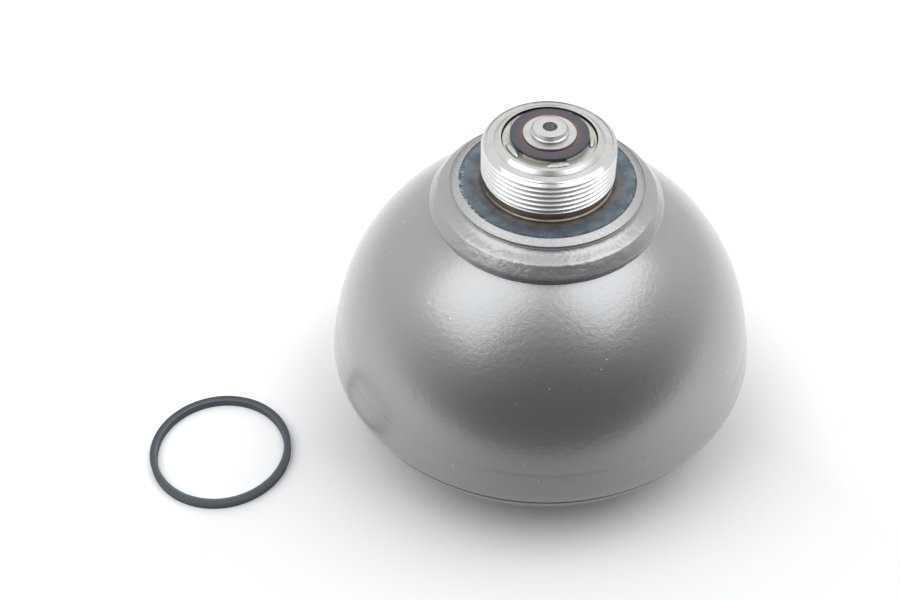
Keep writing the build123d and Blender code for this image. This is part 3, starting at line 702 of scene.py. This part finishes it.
def beadTree(values):
    # uneven weld bead: long waves move its edge in and out, small lumps roughen its upper face
    tree, sizes = newTree("uneven bead", values)
    position = addNode(tree, "GeometryNodeInputPosition")
    height = addNode(tree, "ShaderNodeSeparateXYZ", [position]).outputs["Z"]
    radius = axisDistance(tree, position, 1)
    waveScale = addNode(tree, "ShaderNodeMath", [1.0, sizes["Wave"]], "DIVIDE")
    lumpScale = addNode(tree, "ShaderNodeMath", [1.0, sizes["Lump"]], "DIVIDE")
    waves = addNode(tree, "ShaderNodeTexNoise", {"Vector": position, "Scale": waveScale, "Detail": 3})
    lumps = addNode(tree, "ShaderNodeTexNoise", {"Vector": position, "Scale": lumpScale, "Detail": 2})
    wave = addNode(tree, "ShaderNodeMath", [waves, 0.5], "SUBTRACT")
    lump = addNode(tree, "ShaderNodeMath", [lumps, 0.5], "SUBTRACT")
    upperFace = addNode(tree, "ShaderNodeMapRange", [
        height, sizes["Crest Height"], sizes["Lumpy Height"], 0.15, 1.0])
    lumpHigh = addNode(tree, "ShaderNodeMath", [lump, sizes["Lump Height"]], "MULTIPLY")
    lumpHere = addNode(tree, "ShaderNodeMath", [lumpHigh, upperFace], "MULTIPLY")
    total = addNode(tree, "ShaderNodeMath", [wave, sizes["Wave Height"], lumpHere], "MULTIPLY_ADD")
    # nothing moves where the bead is welded to the neck
    edge = addNode(tree, "ShaderNodeMath", [sizes["Inner Radius"], sizes["Free Reach"]], "ADD")
    free = addNode(tree, "ShaderNodeMapRange", [radius, sizes["Inner Radius"], edge, 0.0, 1.0])
    amount = addNode(tree, "ShaderNodeMath", [total, free], "MULTIPLY")
    normal = addNode(tree, "GeometryNodeInputNormal")
    push = addNode(tree, "ShaderNodeVectorMath", {0: normal, "Scale": amount}, "SCALE")
    moved = addNode(tree, "GeometryNodeSetPosition", {"Geometry": sizes["Geometry"], "Offset": push})
    whole = addNode(tree, "GeometryNodeRealizeInstances", [moved])
    coated = addNode(tree, "GeometryNodeSetMaterial", {"Geometry": whole, "Material": sizes["Material"]})
    addNode(tree, "NodeGroupOutput", [coated])
    return tree


neckBead = turned("neckBead", beadOutline(), 640)
applyTree(neckBead, beadTree, inMetres(beadRoughness | {
    "Inner Radius": neckRim, "Free Reach": bead["freeReach"],
    "Crest Height": seatHeight - bead["crestFall"], "Lumpy Height": seatHeight - bead["lumpyFall"],
}) | {"Material": thickEnamel})
finishPiece(neckBead, None, "vessel", "shell_paint", "neck_weld")

print("stage: damper")
damper = {"shimThick": 0.25, "shims": 3, "hole": 3.0, "spacer": 6.85, "spacerThick": 0.5, "plateau": 1.05,
          "pin": 2.95, "foot": 4.9, "footHeight": 0.55, "grooveRadius": 4.35, "grooveHeight": 0.15,
          "head": 4.6, "headHeight": 1.0, "headChamfer": 0.35, "mouth": 1.77, "mouthDepth": 3.0, "bleed": 0.6,
          "flare": 0.6, "cap": 0.4}


def washer(name, inner, outer, bottom, thickness, edge, material, slot, node, body="vessel"):
    top = bottom + thickness
    piece = turned(name, [
        (inner, bottom, edge), (outer, bottom, edge), (outer, top, edge), (inner, top, edge)], 160, steps=3)
    finishPiece(piece, material, body, slot, node)


for side in ("upper", "lower"):
    for i in range(damper["shims"]):
        node = f"{side}_shim_{i + 1}"
        washer(f"{side}Shim{i + 1}", damper["hole"], shimRadius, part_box(node)[0].z / mm, damper["shimThick"],
               0.03, springSteel, "shim_steel", node)
    node = f"{side}_spacer"
    washer(f"{side}Spacer", damper["hole"], damper["spacer"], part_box(node)[0].z / mm, damper["spacerThick"],
           0.1, satinSteel, "damper_steel", node)


def pinOutline():
    d = damper
    headUnder = pinTop - d["headHeight"]
    foot = headUnder - d["grooveHeight"] - d["footHeight"]
    footTop = foot + d["footHeight"]
    capTop = pinBottom + d["cap"]
    mouthFloor = pinTop - d["mouthDepth"]
    return [
        (d["bleed"], pinBottom, 0.05), (d["pin"], pinBottom, 0.1), (d["pin"] + d["flare"], capTop, 0.05),
        (d["pin"], capTop + d["flare"], 0.05), (d["pin"], foot, 0.05), (d["foot"], foot, 0.1),
        (d["foot"], footTop, 0.12), (d["grooveRadius"], footTop, 0.03), (d["grooveRadius"], headUnder, 0.03),
        (d["head"], headUnder, 0.06), (d["head"], pinTop - d["headChamfer"], 0.15),
        (d["head"] - d["headChamfer"], pinTop, 0.12), (d["mouth"], pinTop, 0.12),
        (d["mouth"], mouthFloor, 0.05), (d["bleed"], mouthFloor - d["mouth"] + d["bleed"], 0.05)]


centrePin = turned("centrePin", pinOutline(), 128, steps=3)
finishPiece(centrePin, satinSteel, "vessel", "damper_steel", "damper_pin")
centrePin.data.materials.append(drilledSteel)
for face in centrePin.data.polygons:     # the hole's wall, from just under its mouth
    if face.center.xy.length < (damper["mouth"] + 0.06) * mm and face.center.z < (pinTop - 0.1) * mm:
        face.material_index = 1

for node, material in (("damper_body", sinteredIron), ("pin_collar", satinSteel)):
    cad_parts[node].data.materials.clear()
    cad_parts[node].data.materials.append(material)

# Stakes: the neck's metal punched over the damper's edge in five places
stake = {"Count": 5, "Radius": 10.95, "First": -81.0, "Length": 5.2, "Width": 0.95, "Height": 0.95,
         "Bluntness": 0.7, "Lean": 0.3, "Punched": 0.85, "Slope": 0.2, "Lump": 0.8, "Lump Height": 0.3,
         "Seed": 4, "Smallest": (0.85, 0.8, 0.85), "Largest": (1.1, 1.25, 1.1)}


def stakeTree(values):
    tree, sizes = newTree("punched stakes", values)
    circle = addNode(tree, "GeometryNodeMeshCircle", {"Vertices": sizes["Count"], "Radius": sizes["Radius"]})
    around = addNode(tree, "ShaderNodeCombineXYZ", {"Z": sizes["First"]})
    lift = addNode(tree, "ShaderNodeCombineXYZ", {"Z": sizes["Height"]})
    placed = addNode(tree, "GeometryNodeTransform", {
        "Geometry": circle, "Translation": lift, "Rotation": around})
    position = addNode(tree, "GeometryNodeInputPosition")
    flat = addNode(tree, "ShaderNodeVectorMath", [position, (1, 1, 0)], "MULTIPLY")
    facing = addNode(tree, "FunctionNodeAlignRotationToVector", {"Vector": flat}, axis="X", pivot_axis="Z")
    size = addNode(tree, "FunctionNodeRandomValue", {
        0: stake["Smallest"], 1: stake["Largest"], "Seed": sizes["Seed"]}, data_type="FLOAT_VECTOR")
    copies = addNode(tree, "GeometryNodeInstanceOnPoints", {
        "Points": placed, "Instance": sizes["Geometry"], "Rotation": facing, "Scale": size})
    whole = addNode(tree, "GeometryNodeRealizeInstances", [copies])
    # a torn, lumpy skin, different on each stake
    lumpScale = addNode(tree, "ShaderNodeMath", [1.0, sizes["Lump"]], "DIVIDE")
    lumps = addNode(tree, "ShaderNodeTexNoise", {"Vector": position, "Scale": lumpScale, "Detail": 2})
    lump = addNode(tree, "ShaderNodeMath", [lumps, 0.5], "SUBTRACT")
    amount = addNode(tree, "ShaderNodeMath", [lump, sizes["Lump Height"]], "MULTIPLY")
    normal = addNode(tree, "GeometryNodeInputNormal")
    push = addNode(tree, "ShaderNodeVectorMath", {0: normal, "Scale": amount}, "SCALE")
    torn = addNode(tree, "GeometryNodeSetPosition", {"Geometry": whole, "Offset": push})
    finished = addNode(tree, "GeometryNodeSetMaterial", {"Geometry": torn, "Material": sizes["Material"]})
    addNode(tree, "NodeGroupOutput", [finished])
    return tree


def stakeBlank():
    # one stake: a smooth lump, flat where the punch met it, leaning in over the damper
    levels, columns, points = 14, 40, []
    for i in range(levels + 1):
        rise = i / levels
        spread = cos(rise * pi / 2) ** stake["Bluntness"] if i < levels else 0
        for j in range(columns):
            a = 2 * pi * j / columns
            x = stake["Width"] * spread * cos(a) - stake["Lean"] * rise
            y = stake["Length"] * 0.5 * spread * sin(a)
            z = min(stake["Height"] * sin(rise * pi / 2),
                    stake["Height"] * (stake["Punched"] - stake["Slope"] * x))
            points.append((x * mm, y * mm, z * mm))
    rings = [range(i * columns, (i + 1) * columns) for i in range(levels + 1)]
    mesh = newMesh("stakes", points, facesBetween(rings) + [list(range(columns))[::-1]])
    mesh.shade_smooth()
    return addObject("stakes", mesh)


stakes = stakeBlank()
applyTree(stakes, stakeTree, inMetres({
    "Radius": stake["Radius"], "Height": damperTop - damper["plateau"] - 0.05, "Lump": stake["Lump"],
    "Lump Height": stake["Lump Height"],
}) | {"Count": stake["Count"], "First": radians(stake["First"]), "Seed": stake["Seed"],
      "Material": punchedSteel})
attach(stakes, "vessel")

print("stage: diaphragm and what it closes")
inside = {"rubberGap": 0.3, "wall": 2.0, "pad": 2.2, "padFlank": 2.5, "padInset": 0.5, "disc": 13.0,
          "discRim": 1.5, "recessGap": 0.4, "stem": 5.0, "washer": 9.0, "washerThick": 1.5, "peen": 0.6,
          "fit": 0.05, "beadWidth": 2.8, "beadHeight": 4.0, "beadGap": 0.3, "clampHeight": 5.4,
          "clampGap": 0.1, "clampFoot": 2.35, "linerRise": 12.5}
linerRadius = innerRadius - inside["rubberGap"]
skinRadius = linerRadius - inside["wall"]
beadTop = ledgeHeight + inside["beadHeight"]
linerTop = seamHeight + inside["linerRise"]
clampTop = beadTop + inside["clampHeight"]
clampOuter = domeReach(innerRadius, clampTop) - inside["clampGap"]
clampInner = clampOuter - inside["clampFoot"]
wallFoot = clampInner - inside["rubberGap"]
linerEdge = domeReach(linerRadius, linerTop)
wallSlope = (linerEdge - wallFoot) / (linerTop - beadTop)
discSurface = linerRadius - inside["fit"]
discUnder = domeHeight(discSurface, inside["disc"]) - inside["discRim"]
padTop = discUnder - inside["rubberGap"]
padUnder = padTop - inside["pad"]
washerUnder = padUnder - inside["rubberGap"] - inside["washerThick"]

clampRing = turned("clampRing", [
    (clampInner, beadTop, 0.2), (clampOuter, beadTop, 0.2), (clampOuter, clampTop, 0.1),
    (clampInner + wallSlope * inside["clampHeight"], clampTop, 0.3)])
finishPiece(clampRing, plainSteel, "vessel", "inner_steel", "clamp_ring")


def diaphragmOutline():
    recess = inside["disc"] + inside["recessGap"]
    padRadius = inside["disc"] - inside["padInset"]
    beadOuter = dish["pocket"] - inside["beadGap"]
    stemHole = inside["stem"] + inside["rubberGap"]
    flank = padRadius + inside["padFlank"]
    skinEdge = domeReach(skinRadius, linerTop)
    skinFoot = wallFoot - inside["wall"]
    outer = domeArc(linerRadius, angleOf(linerEdge, linerTop - domeCentre), angleAt(linerRadius, recess), 60)
    under = domeArc(skinRadius, angleAt(skinRadius, flank), angleOf(skinEdge, linerTop - domeCentre), 60)
    coneOut = [(wallFoot + (linerEdge - wallFoot) * i / 12, beadTop + (linerTop - beadTop) * i / 12, 0)
               for i in range(12)]
    coneIn = [(skinEdge + (skinFoot - skinEdge) * i / 12, linerTop + (beadTop - linerTop) * i / 12, 0)
              for i in range(1, 13)]
    return [(beadOuter - inside["beadWidth"], ledgeHeight, 0.6), (beadOuter, ledgeHeight, 0.6),
            (beadOuter, beadTop, 0.4)] + coneOut + outer + [
        (recess, padTop, 0.3), (stemHole, padTop, 0.2), (stemHole, padUnder, 0.2),
        (padRadius, padUnder, 0.5)] + under + coneIn


diaphragm = turned("rubberDiaphragm", diaphragmOutline(), 128)
diaphragm.data.materials.append(diaphragmRubber)
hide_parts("diaphragm")
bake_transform(diaphragm)

closingDisc = turned("closingDisc", domeArc(discSurface, 90, angleAt(discSurface, inside["disc"]), 16) + [
    (inside["disc"], discUnder, 0.3), (inside["stem"], discUnder, 0.1), (inside["stem"], washerUnder, 0.05),
    (inside["stem"] + inside["peen"], washerUnder, 0.1),
    (inside["stem"], washerUnder - inside["peen"], 0.15), (0, washerUnder - inside["peen"], 0)], 128)
finishPiece(closingDisc, plainSteel, "disc", "inner_steel", "closing_disc")
washer("discWasher", inside["stem"] + inside["fit"], inside["washer"], washerUnder, inside["washerThick"],
       0.2, plainSteel, "inner_steel", "disc_washer", "disc")

print("stage: filling boss and plug")
filling = {"spigot": 8.95, "recess": 0.8, "flange": 12.5, "flangeHeight": 4.5, "edge": 1.0, "gasHole": 1.5,
           "thread": 4.0, "threadLength": 3.2, "head": 6.4, "headHeight": 3.2, "headChamfer": 0.4,
           "headRecess": 0.2, "headGap": 0.2, "threadGap": 0.05, "seal": 1.0, "weldInset": 0.2,
           "weldMiddle": (0.75, 0.62), "flats": 5.0, "socket": 2.2, "socketCone": 0.6, "socketLead": 0.18}
bossTop = dish["wall"] + filling["flangeHeight"]
plugFace = filling["recess"] + filling["headRecess"]
plugSeat = plugFace + filling["headHeight"]
sealTop = plugSeat + filling["seal"]
threadTop = sealTop + filling["threadLength"]
counterbore = filling["head"] + filling["headGap"]
fillBoss = turned("fillBoss", [
    (counterbore, filling["recess"], 0.15), (filling["spigot"], filling["recess"], 0.1),
    (filling["spigot"], dish["wall"], 0.02), (filling["flange"], dish["wall"], 0.1),
    (filling["flange"], bossTop - filling["edge"], 0.2),
    (filling["flange"] - filling["edge"], bossTop, 0.2), (filling["gasHole"], bossTop, 0.1),
    (filling["gasHole"], threadTop, 0.05), (filling["thread"], threadTop, 0.05),
    (filling["thread"], sealTop, 0.05), (counterbore, sealTop, 0.05)], 128)
finishPiece(fillBoss, plainSteel, "vessel", "inner_steel", "fill_boss")

bossWeld = turned("bossWeld", [
    (filling["spigot"], dish["bossLeg"], 0), (dish["bossHole"], dish["bossLeg"], 0),
    (dish["bossHole"] + dish["bossLeg"] - filling["weldInset"], filling["weldInset"], 0.1),
    (filling["spigot"] + filling["weldMiddle"][0], filling["weldMiddle"][1], 0.4),
    (filling["spigot"], filling["recess"], 0.05)])
finishPiece(bossWeld, thickEnamel, "vessel", "inner_steel", "fill_boss_weld")


def plugWithSocket():
    # head with a hexagon socket, whose six walls meet a small cone at its mouth, and the shank above it
    columns = 96
    half = filling["flats"] / 2
    head, chamfer = filling["head"], filling["headChamfer"]
    shank = filling["thread"] - filling["threadGap"]
    shankTop = threadTop - filling["headGap"]
    floor = plugFace + filling["socket"]

    def hexReach(a):
        return half / cos((a + pi / 6) % (pi / 3) - pi / 6)

    hexagons = [(0, floor + filling["socketCone"]), (0.75, floor), (1.0, floor),     # size as a share
                (1.0, plugFace + filling["socketLead"]), (1.07, plugFace)]
    circles = [(head - chamfer - 0.1, plugFace), (head - chamfer * 0.9, plugFace + 0.03),
               (head - 0.03, plugFace + chamfer * 0.9), (head, plugFace + chamfer + 0.1),
               (head, plugSeat - 0.1), (head - 0.1, plugSeat), (shank + 0.05, plugSeat),
               (shank, plugSeat + 0.05), (shank, shankTop - 0.3), (shank - 0.3, shankTop), (0, shankTop)]
    points = []
    for i, (size, z) in enumerate(hexagons + circles):
        for j in range(columns):
            a = 2 * pi * j / columns
            r = size * hexReach(a) if i < len(hexagons) else size
            points.append((r * cos(a) * mm, r * sin(a) * mm, z * mm))
    rings = [range(i * columns, (i + 1) * columns) for i in range(len(hexagons + circles))]
    return newMesh("fillPlug", points, facesBetween(rings))


def cleaned(mesh, sharpAngle):
    # merges doubles at the poles, turns every face outwards and keeps hard edges hard
    work = bmesh.new()
    work.from_mesh(mesh)
    bmesh.ops.remove_doubles(work, verts=work.verts, dist=1e-7)
    bmesh.ops.dissolve_degenerate(work, edges=work.edges, dist=1e-7)
    bmesh.ops.recalc_face_normals(work, faces=work.faces)
    work.to_mesh(mesh)
    work.free()
    mesh.shade_smooth()
    mesh.set_sharp_from_angle(angle=radians(sharpAngle))
    return mesh


fillPlug = addObject("fillPlug", cleaned(plugWithSocket(), 35))
finishPiece(fillPlug, zincPlate, "vessel", "plug_steel", "fill_plug")
washer("plugSeal", filling["thread"], filling["head"], plugSeat, filling["seal"], 0.25, annealedCopper,
       "seal_copper", "plug_seal")

print("stage: seal ring")
sealRing = {"width": 2.07, "edge": 0.12}
ringCentre = ((ringBox[0].x + ringBox[1].x) / 2 / mm, (ringBox[0].y + ringBox[1].y) / 2 / mm)
ringOuter = (ringBox[1].x - ringBox[0].x) / 2 / mm
ringInner = ringOuter - sealRing["width"]
looseRing = turned("sealRing", [
    (ringInner, 0, sealRing["edge"]), (ringOuter, 0, sealRing["edge"]),
    (ringOuter, ringTop, sealRing["edge"]), (ringInner, ringTop, sealRing["edge"])], centre=ringCentre)
finishPiece(looseRing, ringRubber, "vessel", "ring_rubber", "seal_ring")

print("stage: table, light and camera")
table = {"radius": 3000, "front": -165, "colour": "#f4f4f4", "shadow": "#b4b4b4", "shown": 0.7,
         "shadowAt": (0, -105, 0), "shadowFrom": 10, "shadowTo": 160}
tableSides = 96
tablePoints = [(table["radius"] * mm * cos(2 * pi * i / tableSides),
                (table["radius"] + table["front"] + table["radius"] * sin(2 * pi * i / tableSides)) * mm, 0)
               for i in range(tableSides)]
floor = addObject("table", newMesh("table", tablePoints, [list(range(tableSides))]))
paper, tree, shader, position = newMaterial("white paper", {"Roughness": 0.9, "Specular IOR Level": 0.1})
# in front of the object the paper has a painted shadow: a dim spot that camera rays see only faintly and the
# other rays in full, so the shells' lower band reflects it
seen = addNode(tree, "ShaderNodeLightPath").outputs["Is Camera Ray"]
mostly = addNode(tree, "ShaderNodeMath", [seen, table["shown"]], "MULTIPLY")
offset = addNode(tree, "ShaderNodeVectorMath", [position, Vector(table["shadowAt"]) * mm], "DISTANCE")
outsideShadow = addNode(tree, "ShaderNodeMapRange", [
    offset.outputs["Value"], table["shadowFrom"] * mm, table["shadowTo"] * mm, 0.0, 1.0],
    interpolation_type="SMOOTHSTEP")
lightness = addNode(tree, "ShaderNodeMath", [outsideShadow, mostly], "MAXIMUM")
# painted shadow: the paper's colour runs from the shadow grey to white
paperColour = addNode(tree, "ShaderNodeValToRGB", [lightness], stops={
    0.0: table["shadow"], 1.0: table["colour"]})
feed(tree, shader, {"Base Color": paperColour})
floor.data.materials.append(paper)

# The room: white round and above the object, dark where the camera stands
room = {"white": 1.03, "dark": 0.09, "cardFrom": -0.45, "cardTo": 0.8, "card": (0.12, -1.0, -0.35)}
world = bpy.data.worlds.new("room")
bpy.context.scene.world = world
world.use_nodes = True
tree = world.node_tree
tree.nodes.clear()
direction = addNode(tree, "ShaderNodeTexCoord").outputs["Generated"]
towardsCard = addNode(tree, "ShaderNodeVectorMath", [direction, Vector(room["card"]).normalized()],
                      "DOT_PRODUCT")
lit = addNode(tree, "ShaderNodeMapRange", [
    towardsCard.outputs["Value"], room["cardFrom"], room["cardTo"], room["white"], room["dark"]],
    interpolation_type="SMOOTHSTEP")
rays = addNode(tree, "ShaderNodeLightPath").outputs
shown = addNode(tree, "ShaderNodeMath", [rays["Is Camera Ray"], rays["Is Transmission Ray"]], "MAXIMUM")
strength = addNode(tree, "ShaderNodeMix", {0: shown, 2: lit, 3: 1.0})     # plain white behind the object
background = addNode(tree, "ShaderNodeBackground", {"Color": colour("#ffffff"), "Strength": strength})
addNode(tree, "ShaderNodeOutputWorld", {"Surface": background})

# Two large soft boxes, left and right, between 50 and 60 degrees up
lamps = {
    "leftBox": {"azimuth": -155, "elevation": 53, "width": 740, "height": 840, "power": 3.9},
    "rightBox": {"azimuth": -19, "elevation": 57, "width": 850, "height": 600, "power": 3.6},
}
lampDistance = 900
lampColour = "#f7fbff"      # daylight, a little bluer than the room
aim = Vector((0, 0, 60 * mm))
for name, values in lamps.items():
    lamp = bpy.data.lights.new(name, "AREA")
    lamp.shape = "RECTANGLE"
    lamp.size, lamp.size_y = values["width"] * mm, values["height"] * mm
    lamp.energy = values["power"]
    lamp.color = colour(lampColour)[:3]
    holder = addObject(name, lamp)
    azimuth, elevation = radians(values["azimuth"]), radians(values["elevation"])
    away = Vector((cos(azimuth) * cos(elevation), sin(azimuth) * cos(elevation), sin(elevation)))
    holder.location = aim + away * lampDistance * mm
    holder.rotation_euler = away.to_track_quat("Z", "Y").to_euler()

view = {"place": (-25.7, -311.6, 350.1), "tilt": 44.93, "roll": -0.43, "lens": 62.57, "sensor": 36.0}
cameraData = bpy.data.cameras.new("camera")
cameraData.sensor_width = view["sensor"]
cameraData.lens = view["lens"]
camera = addObject("camera", cameraData)
camera.matrix_world = (
    Matrix.Translation(Vector(view["place"]) * mm) @ Matrix.Rotation(radians(90 - view["tilt"]), 4, "X")
    @ Matrix.Rotation(radians(view["roll"]), 4, "Z"))
bpy.context.scene.camera = camera
bpy.context.scene.view_settings.view_transform = "Standard"

print("stage: done")
